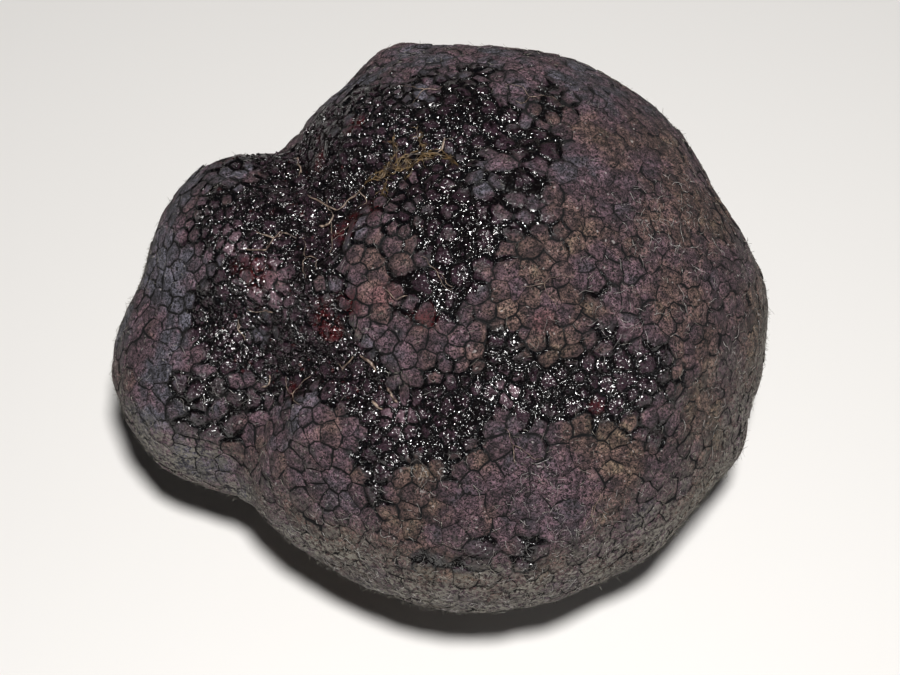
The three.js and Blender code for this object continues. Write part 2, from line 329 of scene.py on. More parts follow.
# One closed skin. Two neighbours share a border, sunk as a crack. From the border in, each wart has a lip
# close to it, the rim of its flat top and its middle, each at a share of the way from its middle's direction
# to the border's.
def skinSurface():
    draw = np.random.default_rng(warts["seed"] + 1)
    middle = wartMiddles()
    place = lumpPoint(middle)
    count = len(middle)
    triangles = joinNeighbours(middle, place)
    print(f"stage: {count} warts, {len(triangles)} corners")
    origin = triangles.ravel()
    end = np.roll(triangles, -1, 1).ravel()
    halves = np.arange(len(origin))
    order = np.argsort(origin * count + end)
    twin = order[np.searchsorted((origin * count + end)[order], end * count + origin)]
    before = np.where(twin % 3 == 2, twin - 2, twin + 1)  # half border that comes before, round the same wart
    edge = np.unique(np.minimum(halves, twin), return_inverse=True)[1]
    edgeHalf = np.unique(np.minimum(halves, twin))
    # corner where three warts meet: circumcentre of their middles, kept inside the triangle
    a, b, c = (place[triangles[:, k]] for k in range(3))
    la, lb, lc = ((b - c) ** 2).sum(1), ((c - a) ** 2).sum(1), ((a - b) ** 2).sum(1)
    share = np.stack([la * (lb + lc - la), lb * (lc + la - lb), lc * (la + lb - lc)], 1)
    share = np.maximum(share / share.sum(1, keepdims=True), warts["cornerPull"])
    share /= share.sum(1, keepdims=True)
    corner = directionOf(share[:, :1] * a + share[:, 1:2] * b + share[:, 2:] * c)
    # middle of each border, a little off the straight line
    stray = draw.uniform(-warts["bend"], warts["bend"], len(edgeHalf))[:, None]
    left, right = corner[edgeHalf // 3], corner[twin[edgeHalf] // 3]
    border = unit(left + right + stray * (middle[end[edgeHalf]] - middle[origin[edgeHalf]]))
    # boldness of each crack, in patches
    boldness = draw.beta(1.2, 1.7, len(edgeHalf))
    borderPlace, borderNormal, _ = surfaceAt(border)
    near = dampAt(border, borderPlace, damp["nearby"])
    steep = smoothStep(0.55, 0.0, borderNormal[:, 2])
    boldness = boldness + 0.25 * softNoise(borderPlace, 5.0, 53) + warts["boldNearDamp"] * near
    boldness = np.clip(boldness * (1 - warts["faintOnSides"] * steep), 0.15, 1)
    cornerBold = np.sqrt(np.mean(boldness[edge.reshape(-1, 3)] ** 2, 1))
    wartTone = draw.random(count)
    wartHue = draw.random(count)
    wartLift = draw.normal(0, 1, count)
    wartLean = draw.normal(0, warts["tilt"], (count, 3))

    outer = np.concatenate([corner[halves // 3], border[edge]])  # lips: at corners, then at borders' middles
    bold = np.concatenate([cornerBold[halves // 3], boldness[edge]])
    owner = np.concatenate([origin, origin])
    reach = np.linalg.norm(lumpPoint(outer) - place[owner], axis=1)
    lipIn = np.minimum(np.interp(bold, [0, 1], warts["crackHalfWidth"]) / reach, 0.3)
    u = np.concatenate([
        middle,
        corner,
        border,
        unit(middle[owner] + (1 - lipIn)[:, None] * (outer - middle[owner])),
        unit(middle[origin] + warts["flatShare"] * (corner[halves // 3] - middle[origin])),
    ])
    lift = np.concatenate([
        np.full(count, warts["flatHeight"] + warts["dome"]),
        -np.interp(cornerBold, [0, 1], warts["crackDepth"]),
        -np.interp(boldness, [0, 1], warts["crackDepth"]),
        np.zeros(len(owner)),
        np.full(len(origin), warts["flatHeight"]),
    ])
    # painted shade mask: how far the colour goes toward near-black there, boldest on the crack floors
    groove = np.concatenate([np.zeros(count), cornerBold, boldness, 0.07 * bold, np.zeros(len(origin))])
    owner = np.concatenate([np.arange(count), np.full(len(corner) + len(border), -1), owner, origin])
    p, normal, _ = surfaceAt(u)
    owned = owner >= 0
    wet = dampAt(u, p)
    flesh = fleshAt(u, p)
    holder = owner[owned]
    lean = ((p[owned] - place[holder]) * wartLean[holder]).sum(1)
    lift[owned] += warts["unevenHeight"] * wartLift[holder] + lean * (1 + warts["dampTilt"] * wet[owned])
    between = len(u) - count - len(origin)
    domed = np.concatenate([np.ones(count), np.zeros(between), np.full(len(origin), 0.6)])
    lift += warts["dampDome"] * wet * domed
    (size, height), (dampSize, dampHeight) = warts["pits"]
    lift += height * softNoise(p, size, 61) + wet * dampHeight * softNoise(p, dampSize, 67)
    p = p + normal * lift[:, None]
    p[:, 2] = np.maximum(p[:, 2], -lump["restDepth"])

    lip = count + len(corner) + len(border)
    lipBorder = lip + len(halves)
    flat = lipBorder + len(halves)
    floorCorner, floorBorder = count + halves // 3, count + len(corner) + edge
    quads = np.concatenate([
        np.stack([lip + before, floorCorner[before], floorBorder, lipBorder + halves], 1),
        np.stack([lipBorder + halves, floorBorder, floorCorner, lip + halves], 1),
    ])
    fans = np.concatenate([
        np.stack([flat + before, lip + before, lipBorder + halves], 1),
        np.stack([flat + before, lipBorder + halves, flat + halves], 1),
        np.stack([lipBorder + halves, lip + halves, flat + halves], 1),
        np.stack([origin, flat + before, flat + halves], 1),
    ])
    inner = np.concatenate([np.zeros(count), np.ones(flat - count), np.zeros(len(origin))])
    marks = {
        "groove": groove,
        "rim": inner,
        "tone": np.where(owned, wartTone[owner], 0.5),
        "hue": np.where(owned, wartHue[owner], 0.5),
        "damp": wet,
        "near": dampAt(u, p, damp["nearby"]),
        "flesh": flesh,
        "pale": spotsAt(u, damp["paleSpots"]),
        "bare": smoothStep(0.3, 0.7, spotsAt(u, damp["bareSpots"])),
        "side": smoothStep(0.62, 0.05, normal[:, 2]),
        "warm": frontRight(p),
    }
    return p, [quads, fans], marks


# Points are in mm from the lump's middle. Faces take the first material, or the second where the mean of
# wetter at their corners is over a half.
def newPiece(name, points, faceSets, marks, materials, smooth=True, wetter=None):
    mesh = bpy.data.meshes.new(name)
    sizes = np.concatenate([np.full(len(f), f.shape[1]) for f in faceSets])
    corners = np.concatenate([f.ravel() for f in faceSets]).astype(np.int32)
    firstCorner = np.concatenate([[0], np.cumsum(sizes)[:-1]]).astype(np.int32)
    mesh.vertices.add(len(points))
    mesh.vertices.foreach_set("co", ((points + lumpMiddle) * 0.001).astype(np.float32).ravel())
    mesh.loops.add(len(corners))
    mesh.loops.foreach_set("vertex_index", corners)
    mesh.polygons.add(len(sizes))
    mesh.polygons.foreach_set("loop_start", firstCorner)
    mesh.polygons.foreach_set("use_smooth", np.full(len(sizes), smooth))
    mesh.update(calc_edges=True)
    mesh.validate()
    for mark, values in marks.items():
        mesh.attributes.new(mark, "FLOAT", "POINT").data.foreach_set("value", values.astype(np.float32))
    piece = bpy.data.objects.new(name, mesh)
    bpy.context.scene.collection.objects.link(piece)
    for material in materials:
        mesh.materials.append(material)
    if wetter is not None:
        mean = np.add.reduceat(wetter[corners], firstCorner) / sizes
        mesh.polygons.foreach_set("material_index", (mean > 0.5).astype(np.int32))
    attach(piece, "root")
    print(f"stage: {name} made, {len(corners) - 2 * len(sizes)} triangles")
    return piece


# A round profile carried along each path: ring of sides about the path, as wide as the radius there, with
# closed ends.
def tubes(paths, radii, sides):
    n, k, _ = paths.shape
    along = unit(np.gradient(paths, axis=1) + 1e-9)
    side = unit(np.cross(along, [0.31, 0.23, 0.92]))
    other = np.cross(along, side)
    turn = (np.arange(sides) * 2 * math.pi / sides)[:, None]
    ring = side[:, :, None] * np.cos(turn) + other[:, :, None] * np.sin(turn)
    points = (paths[:, :, None] + radii[:, :, None, None] * ring).reshape(-1, 3)
    index = np.arange(n * k * sides).reshape(n, k, sides)
    near, far = index[:, :-1], index[:, 1:]
    walls = np.stack([near, np.roll(near, -1, 2), np.roll(far, -1, 2), far], -1).reshape(-1, 4)
    return points, [walls, index[:, 0, ::-1], index[:, -1]]


# Paths that creep over the skin: each step goes on along its heading, turned a little at random, and back
# on to the skin. Gives the points and the outward normals there.
def creep(u, heading, steps, stride, wander, draw):
    trail, normals = [], []
    for _ in range(steps):
        p, normal, _ = surfaceAt(u)
        trail.append(p)
        normals.append(normal)
        turn = draw.normal(0, wander, len(u))[:, None]
        heading = turned(alongSkin(heading, normal), normal, turn)
        u = directionOf(p + heading * stride[:, None])
    return np.stack(trail, 1), np.stack(normals, 1)


threads = {
    "seed": 3,
    "ochre": [  # these and the pale ones: azimuth and elevation along the root, radius in mm, twigs
        ([[151.3, 68.8], [146.7, 70.4], [142, 71.7], [137.5, 72.4], [133.5, 72.8], [129.3, 73.7],
          [125.1, 74.3], [118.6, 74.3], [115.1, 74.7], [111, 75.3], [105.8, 75.8], [100.1, 76.1],
          [93.8, 77.3], [88.2, 78.9], [83.2, 80.5]], 0.11, 16),
        ([[146.3, 71.4], [140.2, 72.4], [134.1, 73.8], [129.6, 75], [122, 75.3], [115.5, 75.7],
          [106.4, 76.9]], 0.07, 12),
        ([[133.5, 72.8], [128.6, 72.3], [125.4, 71.5], [123.9, 70.2], [121, 69.2]], 0.06, 4),
        ([[112.8, 74.8], [110.5, 73.9], [109.5, 72.8], [107.1, 71.9], [105.7, 71.1]], 0.055, 4),
        ([[139.8, 73.4], [143.1, 73.2], [146.2, 73.2], [150.7, 73.7], [156.2, 74]], 0.06, 3),
        ([[126.8, 74.1], [126.2, 75.6], [128.4, 76.9], [133.9, 77.6]], 0.05, 3),
    ],
    "pale": [
        ([[158.7, 55], [160.3, 57.2], [161.6, 59], [163.7, 61.6], [160, 63.7], [156.2, 65.4],
          [150.9, 68.6]], 0.075, 4),
        ([[163.7, 61.6], [166.7, 61.3], [169.8, 60.5], [169.9, 58.5], [169, 56.7]], 0.085, 3),
        ([[174.6, 44.9], [174.9, 45.9], [175.2, 46.8], [176.2, 47.9], [174.8, 48.6], [173.6, 49.3],
          [174.3, 50.2], [174.9, 51.3], [175.6, 52.4], [176.3, 53.6]], 0.06, 3),
        ([[176.2, 47.9], [178.3, 47.2], [-179.5, 46.5], [-179.9, 44.8], [179.7, 42.8]], 0.07, 4),
        ([[153.2, 67.8], [154.2, 69.1], [156.2, 70.3], [159.1, 70.7], [162.3, 70.9]], 0.055, 2),
        ([[100.1, 76.1], [95.6, 75.3], [93.1, 74.2], [92.2, 73.5]], 0.07, 2),
        ([[141.2, 40], [142.7, 41.8], [144.1, 43.5], [146, 44.8]], 0.07, 3),
        ([[-166.9, 36.6], [-165.4, 37.6], [-164.1, 40.4], [-161.8, 42]], 0.045, 1),
        ([[-130.3, 68.3], [-125, 68.4], [-121.3, 68.4], [-118.2, 69.1], [-115.9, 69.9]], 0.035, 0),
        ([[-129, 50.9], [-130.8, 47.7], [-130.8, 45], [-128.1, 44]], 0.06, 2),
        ([[-161.4, 29.6], [-163.8, 30.8], [-166.3, 32.7]], 0.04, 1),
        # the next three: short thick pale pieces without twigs along white glint streaks, pale root in part
        # and painted highlight in part
        ([[-127, 52], [-123, 52], [-118, 51]], 0.12, 0),
        ([[-112, 48], [-110, 46], [-107, 45]], 0.12, 0),
        ([[-116, 43], [-113, 42], [-111, 42]], 0.1, 0),
        ([[-150, 23], [-150, 25], [-151, 27]], 0.08, 0),
    ],
    "steps": 36,
    "bundles": {"ochre": (3, 0.022), "pale": (1, 0.01)},  # strands to a root, how far each one wanders
    "lift": (0.3, 0.28),  # mm above the skin, and how much that varies
    "twigSteps": 7,
    "twigWander": 0.5,
    "twigStride": (0.04, 0.14),
    "twigRadius": (0.02, 0.045),
}


def alongPath(path, share):  # directions at shares 0 to 1 of the length of a path of angles
    points = pathPoints(path)
    length = np.concatenate([[0], np.cumsum(np.linalg.norm(np.diff(points, axis=0), axis=1))])
    return unit(np.stack([np.interp(share * length[-1], length, points[:, k]) for k in range(3)], -1))


# Roots: strands that each wander a little from the path, thick and thin by turns, with twigs to either side.
def rootThreads(roots, strands, sway, draw):
    made = []
    share = np.linspace(0, 1, threads["steps"])
    for path, radius, twigs in [root for root in roots for _ in range(strands)]:
        u = alongPath(path, share)
        bends = np.stack([softNoise(u * 28 + draw.uniform(0, 60, 3), 1.0) for _ in range(3)], 1)
        u = unit(u + sway * bends)
        p, normal, _ = surfaceAt(u)
        lift = threads["lift"][0] + threads["lift"][1] * softNoise(p + draw.uniform(0, 60, 3), 0.8)
        taper = np.minimum(1, 5 * np.minimum(share, 1 - share) + 0.35)
        thick = radius * (draw.uniform(0.35, 0.8) if strands > 1 else 0.9)
        thick = thick * taper * (1 + 0.7 * softNoise(p, 0.25, 73))
        root = p + normal * lift[:, None]
        made.append((root[None], thick[None], 5))
        if not twigs:
            continue
        at = draw.integers(2, len(share) - 2, twigs)
        aside = (draw.choice([-1, 1], twigs) * draw.uniform(0.4, 1.4, twigs))[:, None]
        forward = unit(root[at + 1] - root[at])
        heading = unit(turned(forward, normal[at], aside))
        stride = draw.uniform(*threads["twigStride"], twigs)
        trail, normals = creep(u[at], heading, threads["twigSteps"], stride, threads["twigWander"], draw)
        along = np.linspace(0, 1, threads["twigSteps"])
        rise = lift[at][:, None] + draw.uniform(-0.3, 0.3, twigs)[:, None] * along
        thin = draw.uniform(*threads["twigRadius"], twigs)[:, None] * (1 - 0.6 * along)
        made.append((trail + normals * rise[..., None], thin * draw.uniform(0.7, 1.3, thin.shape), 4))
    return made


paleThreads = {
    "seed": 12,
    "starts": [
        [-74, 38], [-100, 76], [60, 60], [-172, 56], [-140, 30], [100, 62], [-40, 66], [-60, 20], [178, 62],
    ],
    "armsEach": 3,
    "steps": 11,
    "wander": 0.32,
    "stride": (0.13, 0.26),
    "radius": (0.028, 0.045),
}


# Pale strands in threes that part from one point like the letter Y, and wander over the warts.
def paleStrands():
    draw = np.random.default_rng(paleThreads["seed"])
    arms, places = paleThreads["armsEach"], len(paleThreads["starts"])
    starts = np.repeat(pathPoints(paleThreads["starts"]), arms, 0)
    first = np.repeat(draw.uniform(0, 2 * math.pi, places), arms)
    angle = first + np.tile(np.arange(arms) * 2.1, places) + draw.normal(0, 0.3, len(starts))
    _, normal, _ = surfaceAt(starts)
    side = unit(np.cross(normal, [0.2, 0.9, 0.1]))
    heading = turned(side, normal, angle[:, None])
    stride = draw.uniform(*paleThreads["stride"], len(starts))
    trail, normals = creep(starts, heading, paleThreads["steps"], stride, paleThreads["wander"], draw)
    lift = 0.32 + 0.14 * softNoise(trail.reshape(-1, 3), 0.9, 83).reshape(trail.shape[:2])
    taper = np.linspace(1, 0.35, paleThreads["steps"])
    thick = draw.uniform(*paleThreads["radius"], len(starts))[:, None] * taper
    return [(trail + normals * lift[..., None], thick, 4)]


hairs = {
    "seed": 21,
    "count": 700,
    "clusters": [  # azimuth, elevation, reach in degrees, share of the hairs
        (2, 42, 7, 0.10), (5, 49, 5, 0.06), (-69, 27, 6, 0.07), (-66, 10, 7, 0.10), (-85, 6, 8, 0.12),
        (-30, 50, 7, 0.07), (-95, 33, 5, 0.05), (-152, 17, 6, 0.08), (-110, 4, 9, 0.10), (-20, 20, 10, 0.08),
    ],
    "steps": 7,
    "stride": (0.06, 0.30),
    "radius": (0.011, 0.020),
    "wander": 0.5,
    "aboveFloor": 1.5,  # mm
    "dampest": 0.7,  # none where it is damper
}


# Fine mould hairs: thickest in a few clusters, creeping just above the warts, with lifted ends.
def mouldHairs():
    draw = np.random.default_rng(hairs["seed"])
    count = hairs["count"]
    shares = np.array([c[3] for c in hairs["clusters"]])
    pick = draw.choice(len(shares) + 1, count, p=np.append(shares, 1 - shares.sum()))
    centres = np.array([towards(c[0], c[1]) for c in hairs["clusters"]] + [[0, 0, 0]])
    reach = np.append(np.radians([c[2] for c in hairs["clusters"]]), 1.0)
    u = unit(centres[pick] + draw.normal(0, 1, (count, 3)) * reach[pick][:, None])
    p, normal, _ = surfaceAt(u)
    keep = (p[:, 2] > -lump["restDepth"] + hairs["aboveFloor"]) & (dampAt(u, p) < hairs["dampest"])
    u, normal = u[keep], normal[keep]
    heading = unit(np.cross(normal, draw.normal(0, 1, u.shape)))
    stride = hairs["stride"][0] + (hairs["stride"][1] - hairs["stride"][0]) * draw.random(len(u)) ** 2
    trail, normals = creep(u, heading, hairs["steps"], stride, hairs["wander"], draw)
    share = np.linspace(0, 1, hairs["steps"])
    endRise, middleRise = (draw.uniform(0, most, len(u))[:, None] for most in (0.3, 0.2))
    rise = endRise * share**2 + middleRise * np.sin(share * math.pi)
    lift = 0.08 + rise + 0.1 * softNoise(trail.reshape(-1, 3), 0.6, 91).reshape(trail.shape[:2])
    thick = draw.uniform(*hairs["radius"], len(u))[:, None] * (1 - 0.6 * share)
    return [(trail + normals * lift[..., None], thick, 3)]


felt = {
    "seed": 33,
    "count": 13800,
    "length": (0.15, 0.55),
    "radius": (0.016, 0.028),
    "stand": (0.03, 0.32),  # how far they stand off, against how far they lie along
    "samples": 60000,  # places to choose from
    "aboveFloor": 0.8,  # mm
}


# Felt: very short hairs that stand off the dry skin, leaning every way, thickest low down and at the sides.
def shortFelt():
    draw = np.random.default_rng(felt["seed"])
    u = spiral(felt["samples"])
    p, normal, area = surfaceAt(u)
    dry = (1 - dampAt(u, p)) * (p[:, 2] > -lump["restDepth"] + felt["aboveFloor"])
    low = 0.14 + 1.6 * smoothStep(0.75, -0.1, normal[:, 2])
    patchy = np.clip(0.6 + softNoise(p, 3.5, 97), 0.08, 2)
    weight = area * dry * low * patchy
    pick = draw.choice(len(u), felt["count"], replace=False, p=weight / weight.sum())
    p, normal = p[pick], normal[pick]
    lean = alongSkin(draw.normal(0, 1, p.shape), normal)
    share = np.array([0, 0.5, 1.0])
    length = draw.uniform(*felt["length"], len(p))
    tip = unit(normal * draw.uniform(*felt["stand"], len(p))[:, None] + lean)
    curl = draw.normal(0, 0.35, p.shape)
    base = p + normal * 0.04
    course = share[:, None] * tip[:, None] + (share**2)[:, None] * curl[:, None]
    path = base[:, None] + length[:, None, None] * course
    thick = draw.uniform(*felt["radius"], len(p))[:, None] * (1 - 0.6 * share)
    return [(path, thick, 3)]


grains = {
    "seed": 51,
    "count": 3400,
    "radius": (0.07, 0.21),
    "rough": 0.25,  # how far each corner strays from round
    "height": 0.7,  # height against width
    "sunk": 0.45,
    "thickest": [[141, 34], [158, 54], [176, 60], [-170, 48], [-156, 38], [-146, 48], [-130, 45]],
    "reach": 14,  # degrees round that path
    "samples": 90000,  # places to choose from
    "driest": 0.45,  # none where it is drier
}


# Wet grains: rough little balls of twenty sides, half sunk in the skin, the more of them the damper it is.
def wetGrains():
    draw = np.random.default_rng(grains["seed"])
    work = bmesh.new()
    bmesh.ops.create_icosphere(work, subdivisions=1, radius=1.0)
    ball = np.array([v.co for v in work.verts])
    faces = np.array([[v.index for v in f.verts] for f in work.faces])
    work.free()
    u = spiral(grains["samples"])
    p, normal, area = surfaceAt(u)
    inFurrow = bellRound(u, grains["thickest"], grains["reach"])
    weight = area * np.maximum(dampAt(u, p) - grains["driest"], 0) ** 1.3 * (0.02 + inFurrow)
    pick = draw.choice(len(u), grains["count"], replace=False, p=weight / weight.sum())
    p, normal = p[pick], normal[pick]
    low, high = grains["radius"]
    size = low + (high - low) * draw.random(len(p)) ** 2
    side = unit(np.cross(normal, draw.normal(0, 1, p.shape)))
    other = np.cross(normal, side)
    corners = ball[None] * (1 + draw.normal(0, grains["rough"], (len(p), len(ball), 1)))
    corners *= (size[:, None] * draw.uniform(0.7, 1.35, (len(p), 3)) * [1, 1, grains["height"]])[:, None]
    x, y, z = (corners[..., k:k + 1] for k in range(3))
    placed = x * side[:, None] + y * other[:, None] + z * normal[:, None]
    rise = 0.06 + size * draw.uniform(-grains["sunk"], grains["sunk"], len(p))
    placed += (p + normal * rise[:, None])[:, None]
    tone = np.repeat(draw.random(len(p)), len(ball))
    points = placed.reshape(-1, 3)
    flesh = np.repeat(fleshAt(directionOf(p), p) * 0.8 + (draw.random(len(p)) > 0.95) * 0.5, len(ball))
    faces = (faces[None] + len(ball) * np.arange(len(p))[:, None, None]).reshape(-1, 3)
    return points, faces, {"tone": tone, "flesh": flesh}


def linear(red, green, blue):  # a screen colour, 0 to 255, as the light it stands for
    c = np.array([red, green, blue]) / 255
    return (*np.where(c <= 0.04045, c / 12.92, ((c + 0.055) / 1.055) ** 2.4), 1.0)


# Node tools: add a node, and feed its sockets from values or from other sockets.
class Graph:
    def __init__(self, tree):
        self.tree = tree
        self.column = 0

    def add(self, kind, inputs=None, **settings):
        node = self.tree.nodes.new(kind if kind.startswith("Node") else "ShaderNode" + kind)
        node.location = (180 * self.column, -40 * (self.column % 5))
        self.column += 1
        for name, value in settings.items():
            setattr(node, name, value)
        for name, value in (inputs or {}).items():
            self.feed(node.inputs[name], value)
        return node

    def feed(self, socket, value):
        if isinstance(value, bpy.types.NodeSocket):
            self.tree.links.new(value, socket)
        else:
            socket.default_value = value

    def math(self, operation, first, second=0.0):
        return self.add("Math", {0: first, 1: second}, operation=operation).outputs[0]

    def plus(self, total, *values):
        for value in values:
            total = self.math("ADD", total, value)
        return total

    def times(self, product, *values):
        for value in values:
            product = self.math("MULTIPLY", product, value)
        return product

    def minus(self, first, second):
        return self.math("SUBTRACT", first, second)

    def vector(self, operation, first, second, output=0):
        return self.add("VectorMath", {0: first, 1: second}, operation=operation).outputs[output]

    def mix(self, amount, first, second, blend="MIX"):
        inputs = {0: amount, 6: first, 7: second}
        return self.add("Mix", inputs, data_type="RGBA", blend_type=blend).outputs[2]

    def blendNumbers(self, amount, first, second):
        return self.add("Mix", {0: amount, 2: first, 3: second}, data_type="FLOAT").outputs[0]

    def span(self, value, low, high, toLow=0.0, toHigh=1.0):  # smooth step from low to high
        inputs = {0: value, 1: low, 2: high, 3: toLow, 4: toHigh}
        return self.add("MapRange", inputs, interpolation_type="SMOOTHSTEP").outputs[0]

    def noise(self, place, scale, detail=2.0, roughness=0.5, output="Fac", **inputs):
        given = {"Vector": place, "Scale": scale, "Detail": detail, "Roughness": roughness, **inputs}
        return self.add("TexNoise", given).outputs[output]

    def mark(self, name):
        return self.add("Attribute", attribute_type="GEOMETRY", attribute_name=name).outputs["Fac"]


def startGroup(name, inputs, outputs):
    group = bpy.data.node_groups.new(name, "ShaderNodeTree")
    for way, sockets in (("INPUT", inputs), ("OUTPUT", outputs)):
        for socket in sockets:
            kind = "NodeSocketVector" if socket == "Vector" else "NodeSocketFloat"
            group.interface.new_socket(socket, in_out=way, socket_type=kind)
    graph = Graph(group)
    return group, graph, graph.add("NodeGroupInput").outputs, graph.add("NodeGroupOutput").inputs


# Mottle: slow noise as Patches, fine noise as Grain, and a few bright dots for painted glints.
def mottleGroup():
    inputs, outputs = ("Vector", "Patch Scale", "Grain Scale"), ("Patches", "Grain", "Glint")
    group, graph, given, out = startGroup("soilMottle", inputs, outputs)
    slow = graph.noise(given["Vector"], given["Patch Scale"], 3.0, 0.55)
    fine = graph.noise(given["Vector"], given["Grain Scale"], 3.0, 0.65, Distortion=1.2)
    dots = graph.noise(given["Vector"], graph.times(given["Grain Scale"], 0.62), 0.0, 0.5)
    graph.feed(out["Patches"], graph.span(slow, 0.34, 0.66))
    graph.feed(out["Grain"], fine)
    graph.feed(out["Glint"], graph.span(dots, 0.78, 0.84))
    return group


# Facets: cells that each tilt their own way. Height is the distance across along a random direction.
def facetGroup():
    group, graph, given, out = startGroup("wetFacets", ("Vector", "Scale"), ("Height",))
    cells = graph.add("TexVoronoi", {"Vector": given["Vector"], "Scale": given["Scale"]}).outputs
    across = graph.vector("SUBTRACT", given["Vector"], cells["Position"])
    lean = graph.vector("SUBTRACT", cells["Color"], (0.5, 0.5, 0.5))
    graph.feed(out["Height"], graph.times(graph.vector("DOT_PRODUCT", across, lean, "Value"), 1000.0))
    return group


mottle = mottleGroup()
facets = facetGroup()
fineScale = 5200.0  # of the mottle's grain, in every material


def mottled(graph, place, patchScale):  # Patches, Grain and Speck over a material's surface
    inputs = {"Vector": place, "Patch Scale": patchScale, "Grain Scale": fineScale}
    outputs = graph.add("Group", inputs, node_tree=mottle).outputs
    return [outputs[name] for name in ("Patches", "Grain", "Glint")]


def startMaterial(name):
    material = bpy.data.materials.new(name)
    material.use_nodes = True
    material.node_tree.nodes.clear()
    graph = Graph(material.node_tree)
    shader = graph.add("BsdfPrincipled")
    graph.feed(graph.add("OutputMaterial").inputs["Surface"], shader.outputs[0])
    return material, graph, shader.inputs


def objectPlace(graph):
    return graph.add("TexCoord").outputs["Object"]


def addBump(graph, shader, depth, height):
    bump = graph.add("Bump", {"Strength": 1.0, "Distance": depth, "Height": height})
    graph.feed(shader["Normal"], bump.outputs[0])


skinLook = {
    "plum": linear(71, 55, 62),
    "redBrown": linear(78, 61, 57),
    "slate": linear(67, 66, 74),
    "tan": linear(87, 75, 62),
    "bare": linear(90, 60, 61),
    "dampDark": linear(7, 4, 6),
    # purple-grey of the damp plate tops, partly a painted sheen
    "dampTopSheen": linear(60, 43, 53),
    "paleTop": linear(156, 128, 140),
    "grainTop": linear(70, 54, 63),
    # near-black of the painted shade in cracks and on steep sides
    "shadeBlack": linear(6, 6, 9),
    # light grey of the painted glints on the dry plates
    "paintedGlint": linear(172, 166, 164),
    "fuzz": linear(142, 138, 128),
    "flesh": linear(78, 14, 17),
    "dryRoughness": 0.85,
    "dampRoughness": (0.17, 0.25),  # gaps, tops
    "dryRefraction": 1.42,
    "wetRefraction": 1.68,
    "sheen": (0.03, 0.5, linear(200, 190, 185)),  # weight, roughness, colour
    "bumpDepth": 0.00012,  # metres
}
skinScale = {  # waves or cells to a metre
    "patches": 170.0,
    "middling": 1100.0,
    "beads": 1500.0,
    "bend": 700.0,  # of the noise that bends the hairlines and facets
    "hairlines": 1050.0,
    "facets": 3700.0,
    "fuzz": 3000.0,
    "fuzzPatches": 260.0,
    "crinkle": 1900.0,
}
bendReach = 0.0009  # metres


